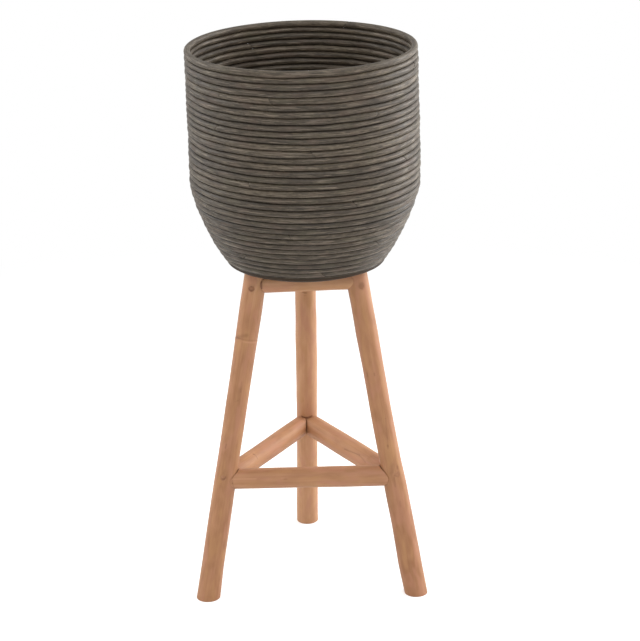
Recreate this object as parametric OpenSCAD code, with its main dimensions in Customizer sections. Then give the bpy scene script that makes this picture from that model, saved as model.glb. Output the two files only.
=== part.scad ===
// Standing planter: a round basket of stacked cane hoops on a three-legged wooden stand.
// Millimetres, Z up, the floor at Z = 0. The front of the stand, with its front rail, faces -Y.

/* [Stand] */
// Height of the stand, from the floor to the flat leg tops
stand_h = 486; // [400:1:600]
// Distance between two leg centres on the floor
foot_spread = 304; // [260:1:360]
// Distance between two leg centres at the leg tops
top_spread = 138; // [110:1:160]
// Diameter of a leg pole
leg_d = 30; // [25:0.5:36]
// Diameter of a leg where it meets the floor
foot_d = 33; // [25:0.5:40]
// Height over which a leg swells to its foot
foot_taper = 200; // [60:5:300]
// Diameter of the rails under the basket
rail_d = 30; // [22:0.5:34]
// Diameter of the lower stretchers
stretcher_d = 30; // [22:0.5:34]
// Height of the stretchers' centre line above the floor
stretcher_z = 180; // [100:1:300]

/* [Basket] */
// Height of the basket, from its lowest cane to the rim
basket_h = 311; // [240:1:380]
// Outer diameter of the basket over its straight upper wall
body_d = 324; // [280:1:360]
// Outer diameter of the lowest cane hoop
base_d = 227; // [215:1:260]
// Height of the straight upper wall
wall_h = 196; // [100:1:215]
// How far the flank bows out between the wall and the base
flank_bulge = 5; // [1:0.5:15]
// Diameter of the cane
cane_d = 9; // [8:0.5:12]
// Turn from the joint of one hoop to the joint of the next, in degrees
joint_turn = 137.5; // [20:0.5:170]
// Turn of the rim hoop's joint, in degrees
joint_start = 64; // [0:1:359]
// Thickness of the base board
board_t = 12; // [8:0.5:20]
// How far the base board stands out below the lowest cane
board_drop = 3; // [1:0.5:6]

/* [Fasteners] */
// Diameter of the screws
screw_d = 4; // [3:0.5:5]
// Diameter of the screw heads and of the plugs over them
head_d = 8; // [7:0.5:10]
// Height of a countersunk screw head
head_h = 3.2; // [2.5:0.1:4]
// Length of a screw through a leg
pole_screw_l = 45; // [38:1:60]
// Length of a screw through the base board
base_screw_l = 32; // [26:1:38]
// Length of a screw's point
point_l = 6; // [3:0.5:8]
// Depth of the plug over a screw
plug_t = 5; // [3:0.5:7]
// How far the screws sit above or below a pole's centre line
screw_rise = 7; // [5.5:0.5:8]
// How far the screws sit from a pole's centre line towards the inside of the stand
screw_inset = 3.5; // [0:0.5:5]

/* [Fits] */
// Clearance between a coped pole end and the leg
cope_gap = 0.2; // [0.1:0.05:0.4]
// Clearance between two poles that are mitred together
mitre_gap = 0.3; // [0.1:0.05:0.6]
// Least clearance between one cane hoop and the next
cane_gap = 0.15; // [0.1:0.05:0.5]
// Space between the two ends of one cane hoop
joint_gap = 0.6; // [0.3:0.1:1.5]
// Clearance between the base board and the cane hoop round it
board_gap = 0.2; // [0.1:0.05:0.5]
// Clearance between the rails' tops and the base board
rail_gap = 0.2; // [0.1:0.05:0.5]
// Clearance round a screw or plug in its hole
hole_gap = 0.1; // [0.05:0.05:0.3]

/* [Hidden] */
$fn = 96;
wood = [0.67, 0.5, 0.39];
dark_wood = [0.55, 0.38, 0.27];
cane = [0.38, 0.345, 0.31];
board_colour = [0.72, 0.6, 0.45];
steel = [0.7, 0.7, 0.68];

// Stand. Leg k stands at leg_angle[k]: the left, the right and the back leg.
leg_angle = [-150, -30, 90];
leg_names = ["leg_left", "leg_right", "leg_back"];
// Pole k runs from leg k to leg k + 1.
rail_names = ["rail_front", "rail_right", "rail_left"];
stretcher_names = ["stretcher_front", "stretcher_right", "stretcher_left"];
// Whether the screw at each end of a rail sits above or below its centre line.
// The stretchers' screws are the other way up. Two screws in one leg never meet.
screw_side = [[1, 1], [-1, -1], [1, -1]];
foot_r = foot_spread / sqrt(3);
top_r = top_spread / sqrt(3);
lean = atan((foot_r - top_r) / stand_h);
rail_z = stand_h - rail_gap - rail_d / 2;
leg_len = stand_h / cos(lean);

// Basket. A row's centre line runs down the straight wall, then along an arc to the base.
basket_z = stand_h + board_drop;
rim_top = basket_z + basket_h;
rim_z = rim_top - cane_d / 2;
base_z = basket_z + cane_d / 2;
shoulder_z = rim_top - wall_h;
wall_r = (body_d - cane_d) / 2;
base_r = (base_d - cane_d) / 2;
wall_l = rim_z - shoulder_z;
flank_dr = wall_r - base_r;
flank_dz = shoulder_z - base_z;
flank_chord = norm([flank_dr, flank_dz]);
flank_lean = atan(flank_dr / flank_dz);
flank_arc_r = flank_chord * flank_chord / (8 * flank_bulge) + flank_bulge / 2;
flank_half = asin(flank_chord / 2 / flank_arc_r);
flank_l = flank_arc_r * 2 * flank_half * PI / 180;
flank_mid = [(wall_r + base_r) / 2, (shoulder_z + base_z) / 2];
flank_centre = flank_mid - (flank_arc_r - flank_bulge) * [cos(flank_lean), -sin(flank_lean)];
rows = floor((wall_l + flank_l) / (cane_d + cane_gap)) + 1;
pitch = (wall_l + flank_l) / (rows - 1);
board_r = base_r - cane_d / 2 - board_gap;

// The origin lies under the middle of the whole object, which is not the basket's axis,
// because the back leg reaches further out than the basket does in front.
foot_reach = foot_d / 2 / cos(lean);
back_reach = max(foot_r + foot_reach, body_d / 2);
front_reach = max(foot_r / 2 + foot_d / 2, body_d / 2);
axis_y = (front_reach - back_reach) / 2;

function hoop_name(k) = k == 1 ? "rim_hoop" : k == rows ? "base_hoop" : str("hoop_", k < 10 ? "0" : "", k);

// Distance of a leg's centre line from the basket's axis, at height z
function leg_r(z) = foot_r + (top_r - foot_r) * z / stand_h;
// Centre line of leg k at height z
function leg_at(k, z) = [leg_r(z) * cos(leg_angle[k]), leg_r(z) * sin(leg_angle[k]), z];
// Direction in which pole k faces out from the stand, and in which it runs
function pole_out(k) = leg_angle[k] + 60;
function pole_way(k) = leg_angle[k] + 150;
// Radius and height of a cane row's centre, a length s along the centre line from the rim
function flank_turn(s) = flank_half - flank_lean - (s - wall_l) / flank_arc_r * 180 / PI;
function row_at(s) = s <= wall_l
    ? [wall_r, rim_z - s]
    : flank_centre + flank_arc_r * [cos(flank_turn(s)), sin(flank_turn(s))];

// Everything is drawn round the basket's axis and then set on the origin.
module placed() translate([0, axis_y, 0]) children();

// A leg before its holes are drilled, larger by gap all round where another piece is cut to it
module leg_solid(k, gap = 0) intersection() {
    rotate([0, 0, leg_angle[k]])
        translate([foot_r, 0, 0])
            rotate([0, -lean, 0])
                rotate_extrude() polygon([
                    [0, -leg_d],
                    [foot_d / 2 + gap, -leg_d],
                    [foot_d / 2 + gap, 0],
                    [leg_d / 2 + gap, foot_taper],
                    [leg_d / 2 + gap, leg_len + leg_d],
                    [0, leg_len + leg_d]]);
    translate([-foot_spread, -foot_spread, 0]) cube([2 * foot_spread, 2 * foot_spread, stand_h]);
}

// Puts a screw at end e of pole k, with the top of its head at the origin, pointing into the pole.
// The pole's centre line is at height z, and side is 1 above it or -1 below it.
module at_pole_end(k, e, z, side) {
    leg = (k + e) % 3;
    at = leg_at(leg, z + side * screw_rise) - screw_inset * [cos(pole_out(k)), sin(pole_out(k)), 0];
    translate(at)
        rotate([0, 90, pole_way(k) + 180 * e])
            translate([0, 0, plug_t - leg_d / 2]) children();
}

// A countersunk wood screw, pointing along +Z from the top of its head
module screw(l) {
    cylinder(h = head_h, d1 = head_d, d2 = screw_d);
    cylinder(h = l - point_l, d = screw_d);
    translate([0, 0, l - point_l]) cylinder(h = point_l, d1 = screw_d, d2 = screw_d / 4);
}

// The hole for that screw, with the open way that its plug or driver takes
module screw_hole(l, way) {
    cylinder(h = head_h, d1 = head_d + 2 * hole_gap, d2 = screw_d + 2 * hole_gap);
    cylinder(h = l + hole_gap, d = screw_d + 2 * hole_gap);
    translate([0, 0, -way]) cylinder(h = way, d = head_d + 2 * hole_gap);
}

// The six screw places of the rails, or of the stretchers with flip = -1
module pole_screw_places(z, flip) for (k = [0:2]) for (e = [0:1])
    at_pole_end(k, e, z, flip * screw_side[k][e]) children();

module leg(k) color(wood) placed() difference() {
    leg_solid(k);
    pole_screw_places(rail_z, 1) screw_hole(pole_screw_l, leg_d);
    pole_screw_places(stretcher_z, -1) screw_hole(pole_screw_l, foot_d);
}

// Pole k between its two legs: coped to both, and mitred to the next pole at each leg
module pole(k, d, z) difference() {
    intersection() {
        translate(leg_at(k, z))
            rotate([0, 90, pole_way(k)]) cylinder(h = leg_r(z) * sqrt(3), d = d);
        rotate([0, 0, pole_out(k)])
            translate([mitre_gap / 2 / sin(60), 0, 0])
                linear_extrude(height = stand_h)
                    polygon([[0, 0], [foot_spread, -foot_spread * tan(60)], [foot_spread, foot_spread * tan(60)]]);
    }
    leg_solid(k, cope_gap);
    leg_solid((k + 1) % 3, cope_gap);
}

// Middle of rail k, where the screw through the base board goes down into it
module at_base_screw(k) rotate([0, 0, pole_out(k)])
    translate([leg_r(rail_z) / 2, 0, stand_h + board_t]) rotate([180, 0, 0]) children();

module rail(k) color(wood) placed() difference() {
    pole(k, rail_d, rail_z);
    for (e = [0:1]) at_pole_end(k, e, rail_z, screw_side[k][e]) screw_hole(pole_screw_l, 0);
    at_base_screw(k) screw_hole(base_screw_l, 0);
}

module stretcher(k) color(wood) placed() difference() {
    pole(k, stretcher_d, stretcher_z);
    for (e = [0:1]) at_pole_end(k, e, stretcher_z, -screw_side[k][e]) screw_hole(pole_screw_l, 0);
}

module rail_screws() color(steel) placed() pole_screw_places(rail_z, 1) screw(pole_screw_l);
module stretcher_screws() color(steel) placed() pole_screw_places(stretcher_z, -1) screw(pole_screw_l);

// A plug fills the hole over a screw and is cut flush with the leg.
module plug(k, e, z, side) intersection() {
    leg_solid((k + e) % 3);
    at_pole_end(k, e, z, side) translate([0, 0, -foot_d]) cylinder(h = foot_d - hole_gap, d = head_d);
}
module rail_plugs() color(dark_wood) placed()
    for (k = [0:2]) for (e = [0:1]) plug(k, e, rail_z, screw_side[k][e]);
module stretcher_plugs() color(dark_wood) placed()
    for (k = [0:2]) for (e = [0:1]) plug(k, e, stretcher_z, -screw_side[k][e]);

// The board closes the basket's bottom, carries the lowest cane hoop round its edge
// and lies on the leg tops.
module base_board() color(board_colour) placed() difference() {
    translate([0, 0, stand_h]) cylinder(h = board_t, r = board_r);
    for (k = [0:2]) at_base_screw(k) screw_hole(base_screw_l, 1);
}
module base_screws() color(steel) placed() for (k = [0:2]) at_base_screw(k) screw(base_screw_l);

// Row k of the basket: one length of cane, bent into a ring until its two ends meet
module hoop(k) {
    row = row_at((k - 1) * pitch);
    open = joint_gap / (2 * PI * row[0]) * 360;
    color(cane) placed()
        translate([0, 0, row[1]])
            rotate([0, 0, joint_start + (k - 1) * joint_turn + open / 2])
                rotate_extrude(angle = 360 - open) translate([row[0], 0]) circle(d = cane_d, $fn = 32);
}

for (k = [0:2]) {
    leg(k);
    rail(k);
    stretcher(k);
}
rail_screws();
rail_plugs();
stretcher_screws();
stretcher_plugs();
base_board();
base_screws();
for (k = [1:rows]) hoop(k);
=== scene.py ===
"""Looks of the standing planter: a basket of stacked cane hoops on a three-legged stand of round poles.

Metres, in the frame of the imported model. Its pieces are rebuilt here as finer meshes with natural
irregularities: canes that swell at their nodes, poles with a grain, marks and plugged screw holes.
"""

import math

import bpy
import numpy as np
from mathutils import Matrix, Vector


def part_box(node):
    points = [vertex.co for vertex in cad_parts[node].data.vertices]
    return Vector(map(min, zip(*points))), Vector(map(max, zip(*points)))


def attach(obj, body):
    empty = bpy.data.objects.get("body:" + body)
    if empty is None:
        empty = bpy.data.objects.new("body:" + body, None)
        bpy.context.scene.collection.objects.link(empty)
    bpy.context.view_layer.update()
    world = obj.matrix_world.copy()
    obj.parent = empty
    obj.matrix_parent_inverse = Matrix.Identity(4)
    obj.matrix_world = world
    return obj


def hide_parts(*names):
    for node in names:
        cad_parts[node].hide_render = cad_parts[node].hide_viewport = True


MM = 0.001
TAU = 2 * math.pi
UP, DOWN = Vector((0, 0, 1)), Vector((0, 0, -1))

# Camera, fitted to the photograph's frame: sensor and lens in mm, the place it looks at, angles in degrees
CAMERA_SENSOR, CAMERA_LENS = 36, 127.86
CAMERA_CLIP = (0.05, 60)
CAMERA_TARGET = (0.01924, -0.01517, 0.39426)
CAMERA_DISTANCE = 3.28307
CAMERA_ELEVATION, CAMERA_AZIMUTH, CAMERA_ROLL = 19.6186, -1.1133, -0.8248


def place_camera():
    """The camera at the photograph's viewpoint, with no shift and no depth of field."""
    angles = (CAMERA_ELEVATION, CAMERA_AZIMUTH, CAMERA_ROLL)
    elevation, azimuth, roll = (math.radians(a) for a in angles)
    flat = math.cos(elevation)
    back = Vector((math.sin(azimuth) * flat, -math.cos(azimuth) * flat, math.sin(elevation)))
    level = (-back).cross(UP).normalized()
    upright = level.cross(-back)
    right = level * math.cos(roll) + upright * math.sin(roll)
    up = upright * math.cos(roll) - level * math.sin(roll)
    data = bpy.data.cameras.new("camera")
    data.sensor_width, data.lens = CAMERA_SENSOR, CAMERA_LENS
    data.clip_start, data.clip_end = CAMERA_CLIP
    camera = bpy.data.objects.new("camera", data)
    turn = Matrix((right, up, back)).transposed().to_4x4()
    camera.matrix_world = Matrix.Translation(Vector(CAMERA_TARGET) + back * CAMERA_DISTANCE) @ turn
    bpy.context.scene.collection.objects.link(camera)
    bpy.context.scene.camera = camera


place_camera()
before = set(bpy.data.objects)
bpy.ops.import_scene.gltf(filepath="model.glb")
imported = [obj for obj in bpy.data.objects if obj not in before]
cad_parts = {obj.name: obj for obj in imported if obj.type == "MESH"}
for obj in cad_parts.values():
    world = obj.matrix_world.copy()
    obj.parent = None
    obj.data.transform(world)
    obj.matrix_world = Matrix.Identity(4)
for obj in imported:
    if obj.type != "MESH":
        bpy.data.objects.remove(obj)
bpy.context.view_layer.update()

# The stand's sizes, as in the part's source
STAND_H = 486 * MM
FOOT_R = 304 * MM / math.sqrt(3)
TOP_R = 138 * MM / math.sqrt(3)
LEG_R = 15 * MM
FOOT_END_R = 16.5 * MM
FOOT_TAPER = 200 * MM
POLE_R = 15 * MM
RAIL_Z = 470.8 * MM
STRETCHER_Z = 180 * MM
LEG_ANGLES = (-150, -30, 90)
LEGS = ("leg_left", "leg_right", "leg_back")
RAILS = ("rail_front", "rail_right", "rail_left")
STRETCHERS = ("stretcher_front", "stretcher_right", "stretcher_left")
SCREW_SIDES = ((1, 1), (-1, -1), (1, -1))
SCREW_D = 4 * MM
HEAD_D = 8 * MM
HEAD_H = 3.2 * MM
POLE_SCREW_L = 45 * MM
BASE_SCREW_L = 32 * MM
PLUG_T = 5 * MM
SCREW_RISE = 7 * MM
SCREW_INSET = 3.5 * MM
COPE_GAP = 0.2 * MM
MITRE_GAP = 0.3 * MM
HOLE_GAP = 0.1 * MM

# The poles' meshes: points around, steps along, the ends' bevel, how far in an end's cut bends the steps,
# the rings that close an end, the size of the surface's waves, and how far apart the grains lie
POLE_AROUND, POLE_STEP = 96, 1.3 * MM
POLE_BEVEL = 0.5 * MM
END_FADE = 60 * MM
END_RINGS = (0.8, 0.55, 0.28)
LEG_WAVES, CROSS_WAVES = 0.22 * MM, 0.2 * MM
LEG_SEED, RAIL_SEED, STRETCHER_SEED = 20, 30, 40
GRAIN_APART = 1.3

# Joints: gaps at a pole's underside and top where the photograph shows them open
COPE_GAPS = {
    ("stretcher_front", "leg_left"): (0.6 * MM, 0.8 * MM),
    ("stretcher_front", "leg_right"): (0.3 * MM, 1.3 * MM),
    ("rail_front", "leg_left"): (0.9 * MM, 1.1 * MM),
}

# Poles that are fuller on a side than a true round one: the side, in degrees around the pole, and
# (place along it in mm, extra thickness in mm) from its start to its end
FULLER = {
    "leg_left": [
        (120, ((0, 0.0), (60, 0.2), (120, 0.8), (180, 1.3), (240, 1.0), (300, 1.2), (400, 1.5), (450, 2.2))),
        (300, ((0, 1.2), (15, 1.2), (50, 0.0))),
    ],
    "leg_right": [
        (240, ((0, -0.6), (50, 1.2), (110, 0.6), (150, 1.5), (265, 1.4), (350, 0.7), (400, 1.4), (440, 0.6))),
        (60, ((0, 0.3), (110, 1.1), (172, 0.8), (210, -0.5), (290, -1.1), (350, -0.4), (400, 0.6))),
    ],
    "leg_back": [
        (0, ((0, 1.5), (46, 1.6), (100, 0.9), (220, 0.6), (290, 0.9), (340, 0.7), (390, 0.0))),
        (180, ((0, -1.5), (46, -0.9), (120, -0.3), (220, 0.6), (290, 1.6), (340, 1.3), (390, 0.6))),
    ],
    "stretcher_right": [(-90, ((0, 1.8), (100, 2.4), (145, 2.2), (175, 1.8), (243, 2.0)))],
    "stretcher_front": [
        (-90, ((0, 0.3), (120, 0.3), (170, 0.9), (243, 0.4))),
        (90, ((0, -0.9), (110, -0.6), (160, -0.2), (243, 0.0))),
    ],
    "rail_front": [
        (-90, ((0, 3.6), (50, 2.3), (92, 1.2), (110, 0.6), (144, 0.3))),
        (90, ((0, -2.2), (50, -1.5), (92, -0.8), (110, -0.4), (144, -0.3))),
        (0, ((0, -0.9), (50, -0.6), (92, -0.3), (144, 0.0))),
    ],
}

# Stains at the plugs: for a leg's plug at the rails (True) or the stretchers (False), the side where the
# ring is darkest, how dark it is there, how dark the patch in it is, and how far above the plug it lies
PLUG_MARKS = {
    ("leg_left", True): ((-0.2, 0, -1.0), 0.5, 0.5, 1.8 * MM),
    ("leg_right", True): ((0.0, 0, 1.0), 0.1, 0.55, 1.8 * MM),
    ("leg_left", False): ((0.5, 0, -0.9), 0.5, 0.3, 2.6 * MM),
    ("leg_right", False): ((0.9, 0, 0.3), 0.3, 0.12, 0.0),
}
PLAIN_PLUG = ((-0.4, 0, 0.9), 0.4, 0.12, 0.0)
PLUG_RING_R, PLUG_RING_W, PLUG_PATCH_W = 4.0 * MM, 1.2 * MM, 6 * MM
PLUG_AROUND = 28
PLUG_ROWS = ((1.0, 0.25 * MM), (0.93, 0.08 * MM), (0.6, 0.06 * MM), (0.3, 0.06 * MM))

# The open mitre at the back leg: its width and how far left it lies. The height of the left leg's ring. The
# right stretcher's flat: its side in degrees, its distance from the centre line, and its end
BACK_SEAM, BACK_SHIFT = 1.1 * MM, 1.6 * MM
LEG_RING_Z = 385.5 * MM
FLAT_TURN, FLAT_R, FLAT_END = 130, 13.9 * MM, 50 * MM

# The screws' thread and point, and the cross recess: (share of the head's radius, depth) of its rings
THREAD_PITCH, THREAD_START, THREAD_ROOT, THREAD_WIDTH = 1.8 * MM, 4 * MM, 0.7, 0.14
THREAD_STEPS = 6
SCREW_POINT = 6 * MM
RECESS_DEPTH = 2.0 * MM
RECESS = ((0.12, 1.9 * MM), (0.3, 1.6 * MM), (0.5, 1.2 * MM), (0.62, 0.0), (0.8, 0.0), (1.0, 0.0))

LEAN = math.atan((FOOT_R - TOP_R) / STAND_H)
BOARD_LOW, BOARD_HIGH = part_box("base_board")
AXIS = Vector(((BOARD_LOW.x + BOARD_HIGH.x) / 2, (BOARD_LOW.y + BOARD_HIGH.y) / 2, 0))
HOOPS = ["rim_hoop"] + [f"hoop_{k:02d}" for k in range(2, 35)] + ["base_hoop"]


# Meshes

RIPPLE_WAVES, ROUND_WAVES, ROUND_MOST = 6, 7, 16


def smooth(x, low, high):
    """0 below low and 1 above high, with a soft step between."""
    t = np.clip((np.asarray(x, float) - low) / (high - low), 0, 1)
    return t * t * (3 - 2 * t)


def bell(x, width):
    """1 at 0, falling off softly on both sides."""
    return np.exp(-((x / width) ** 2))


def wave_sum(rng, count, angles):
    """A random function of size about 1: a sum of waves, each at one of the angles of a value."""
    phases = rng.uniform(0, TAU, count)
    weights = rng.uniform(0.5, 1, count)
    weights /= math.sqrt((weights**2).sum() / 2)
    return lambda x: (weights * np.cos(angles(np.asarray(x, float)[..., None]) + phases)).sum(-1)


def ripple(rng, longest, shortest):
    """A smooth random function of a length, made of waves between two lengths."""
    lengths = np.exp(rng.uniform(math.log(shortest), math.log(longest), RIPPLE_WAVES))
    return wave_sum(rng, RIPPLE_WAVES, lambda x: TAU * x / lengths)


def round_ripple(rng):
    """A smooth random function of an angle, that repeats after a full turn."""
    turns = rng.integers(1, ROUND_MOST, ROUND_WAVES)
    return wave_sum(rng, ROUND_WAVES, lambda angle: turns * angle)


def even(value):
    """A function that is the same everywhere."""
    return lambda x: np.full(np.shape(x), value)


def mesh_object(name, points, faces):
    """A mesh object from an array of points and a list of faces."""
    mesh = bpy.data.meshes.new(name)
    mesh.from_pydata(np.asarray(points).tolist(), [], faces)
    mesh.update()
    obj = bpy.data.objects.new(name, mesh)
    bpy.context.scene.collection.objects.link(obj)
    return obj


def set_attribute(obj, name, values):
    """Stores one number, or one vector, for each vertex, for the materials to read."""
    values = np.asarray(values, np.float32)
    kind, field = ("FLOAT", "value") if values.ndim == 1 else ("FLOAT_VECTOR", "vector")
    layer = obj.data.attributes.new(name, kind, "POINT")
    layer.data.foreach_set(field, values.ravel())


def finish_piece(obj, material, nodes, degrees):
    """The piece's material and place in the frame, and smooth faces with edges over the angle kept sharp."""
    obj.data.shade_smooth()
    obj.data.set_sharp_from_angle(angle=math.radians(degrees))
    obj.data.materials.clear()
    obj.data.materials.append(material)
    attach(obj, "root")
    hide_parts(*nodes)


def circle(around, side=(1, 0), up=(0, 1)):
    """Evenly spaced angles, and their points on a unit circle in the plane of two directions."""
    turn = np.arange(around) / around * TAU
    return turn, np.outer(np.cos(turn), side) + np.outer(np.sin(turn), up)


def neighbours(around):
    """Pairs of neighbours in a ring of points."""
    return [(j, (j + 1) % around) for j in range(around)]


def tube_quads(rings, around, flipped=False):
    """Quads between rings of points, each ring with `around` points."""
    i = np.arange(rings - 1)[:, None] * around
    j = np.arange(around)[None, :]
    k = (j + 1) % around
    quads = np.stack([i + j, i + k, i + around + k, i + around + j], -1).reshape(-1, 4)
    return [tuple(quad) for quad in (quads[:, ::-1] if flipped else quads).tolist()]


def closed_faces(rings, around, flipped=False):
    """Faces of a solid made of rings, closed at both ends to the two middle points that follow them."""
    first, last = rings * around, (rings - 1) * around
    fans = []
    for j, i in neighbours(around):
        fans += [(first, i, j), (first + 1, last + j, last + i)]
    return tube_quads(rings, around, flipped) + ([(a, c, b) for a, b, c in fans] if flipped else fans)


# The basket's canes

ROW_BOXES = [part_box(name) for name in HOOPS]
CANE_R = (ROW_BOXES[0][1].z - ROW_BOXES[0][0].z) / 2
ROW_R = np.array([(high.x - low.x) / 2 - CANE_R for low, high in ROW_BOXES])
ROW_Z = np.array([(high.z + low.z) / 2 for low, high in ROW_BOXES])
ROW_DOWN = np.gradient(np.stack([ROW_R, ROW_Z], 1), axis=0)
ROW_DOWN /= np.linalg.norm(ROW_DOWN, axis=1)[:, None]
BASKET_LOW = ROW_Z[-1] - CANE_R
BASKET_H = ROW_Z[0] + CANE_R - BASKET_LOW
JOINT_START, JOINT_TURN = 64, 137.5
JOINT_GAP = 0.6 * MM
SEAM = 0.05 * MM
CANE_STEP = 2.4 * MM
CANE_AROUND = 20
CANE_SQUARE = 2.1
BASKET_SHIFT = 0.6 * MM
LEAN_AT_RIM = 0.018
OVAL = 3.0 * MM
OVAL_ANGLE = math.radians(-45)
SWELL = 1.5 * MM
SWELL_Z, SWELL_H = 650 * MM, 0.08
ROW_DRIFT = 0.4 * MM
ROW_SHIFTS = {0: 1.3 * MM, 10: -0.7 * MM, 11: -0.8 * MM, 32: -0.5 * MM}
LOW_LIFT, LOW_LIFT_H = 1.3 * MM, 0.11
SIDE_LIFT = 0.1
FLANK_SWELL = 0.7 * MM
# Painted shade on the lowest row's outer face, in the shadow under the basket
BASE_EDGE_SHADE = 3.0
BOARD_BEVEL = 7 * MM
BOARD_PRESS, BOARD_EASE, BOARD_HOLE_RISE = 1.0 * MM, 0.8 * MM, 2 * MM
# The rim row painted lighter, a painted highlight for the light on its top
RIM_LIGHT_TONE = 0.7
# Painted shade in the grooves between rows: its range of strength, and how much it wavers around the basket
GROOVE_SHADES, GROOVE_SHADE_WAVE = (0.3, 1.9), 0.3
CANE_SEED, GROOVE_SEED, GROOVE_SHADE_SEED = 100, 7, 8
CANE_GRAIN_APART = 1.7
GROOVE_WAVE = 0.25 * MM
DRIFT_MIDDLE, DRIFT_ROWS = 7, 15.5
CAP_SHARE = 0.6


def settle(points):
    """The basket as a hand left it: slightly oval, fuller on the right, and leaning left as it rises."""
    x, y, z = points.T
    rise = np.clip(z - BASKET_LOW, 0, None)
    angle, radius = np.arctan2(y, x), np.hypot(x, y)
    oval = OVAL * np.cos(2 * (angle - OVAL_ANGLE)) * smooth(rise, 0.01, 0.13)
    swell = SWELL * np.clip(np.cos(angle), 0, 1) ** 2 * bell(z - SWELL_Z, SWELL_H)
    swell = swell + FLANK_SWELL * smooth(rise, 0, 0.03) * (1 - smooth(rise, 0.09, 0.13))
    grow = 1 + (oval + swell) / np.maximum(radius, 0.05)
    x, y = x * grow, y * grow
    tilt = LEAN_AT_RIM * rise / BASKET_H
    frontal = SIDE_LIFT + (1 - SIDE_LIFT) * np.clip(-np.sin(angle), 0, 1)
    lift = LOW_LIFT * frontal * (1 - smooth(rise, 0, LOW_LIFT_H))
    return np.stack([x + BASKET_SHIFT - tilt * rise / 2, y, z + lift + tilt * x], 1)


def grooves(pitch):
    """Where each groove between two rows runs, as lengths down from the upper row's centre."""
    rng = np.random.default_rng(GROOVE_SEED)

    def groove(k):
        wave = round_ripple(rng)
        drift = ROW_DRIFT * math.cos(TAU * (k - DRIFT_MIDDLE) / DRIFT_ROWS) + rng.normal(0, 0.1 * MM)
        drift += ROW_SHIFTS.get(k, 0)
        return lambda angle: pitch / 2 + drift + GROOVE_WAVE * wave(angle)

    return [groove(k) for k in range(len(HOOPS) - 1)]


def groove_shades():
    """How dark the painted shade in each groove between two rows is, around the basket."""
    rng = np.random.default_rng(GROOVE_SHADE_SEED)

    def groove():
        level, wave = rng.uniform(*GROOVE_SHADES), round_ripple(rng)
        return lambda angle: level + GROOVE_SHADE_WAVE * wave(angle)

    return [groove() for _ in HOOPS[1:]]


def cane_nodes(rng, length):
    """Places of a cane's nodes along it, and how much each slants across it."""
    at, places = rng.uniform(0.02, 0.2), []
    while at < length - 0.015:
        places.append((at, rng.uniform(-1.1, 1.1)))
        at += rng.uniform(0.07, 0.26)
    return places


def cane_steps(length, nodes):
    """Places of a cane's rings of points along it: even steps, with finer ones at its nodes and ends."""
    near_nodes = [at + np.arange(-7, 7.1, 1.0) * MM for at, _ in nodes]
    ends = np.array([0, 0.35, 1]) * MM
    steps = np.linspace(0, length, int(length / CANE_STEP))
    u = np.unique(np.concatenate([steps, *near_nodes, ends, length - ends]))
    u = u[(u >= 0) & (u <= length)]
    u = u[np.concatenate([[True], np.diff(u) > 0.3 * MM])]
    u[-1] = length
    return u


def cane_ends(surface):
    """Closes both cut ends of a cane, each by a smaller ring and a middle point: (new points, faces)."""
    caps, faces = [], []
    for start, flipped in ((0, False), (len(surface) - CANE_AROUND, True)):
        rim = surface[start : start + CANE_AROUND]
        centre = rim.mean(0)
        first = len(surface) + len(caps)
        caps += [*(centre + (rim - centre) * CAP_SHARE), centre]
        for j, i in neighbours(CANE_AROUND):
            quad = (start + j, start + i, first + i, first + j)
            fan = (first + j, first + i, first + CANE_AROUND)
            faces += [quad[::-1], fan[::-1]] if flipped else [quad, fan]
    return np.array(caps), faces


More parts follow.
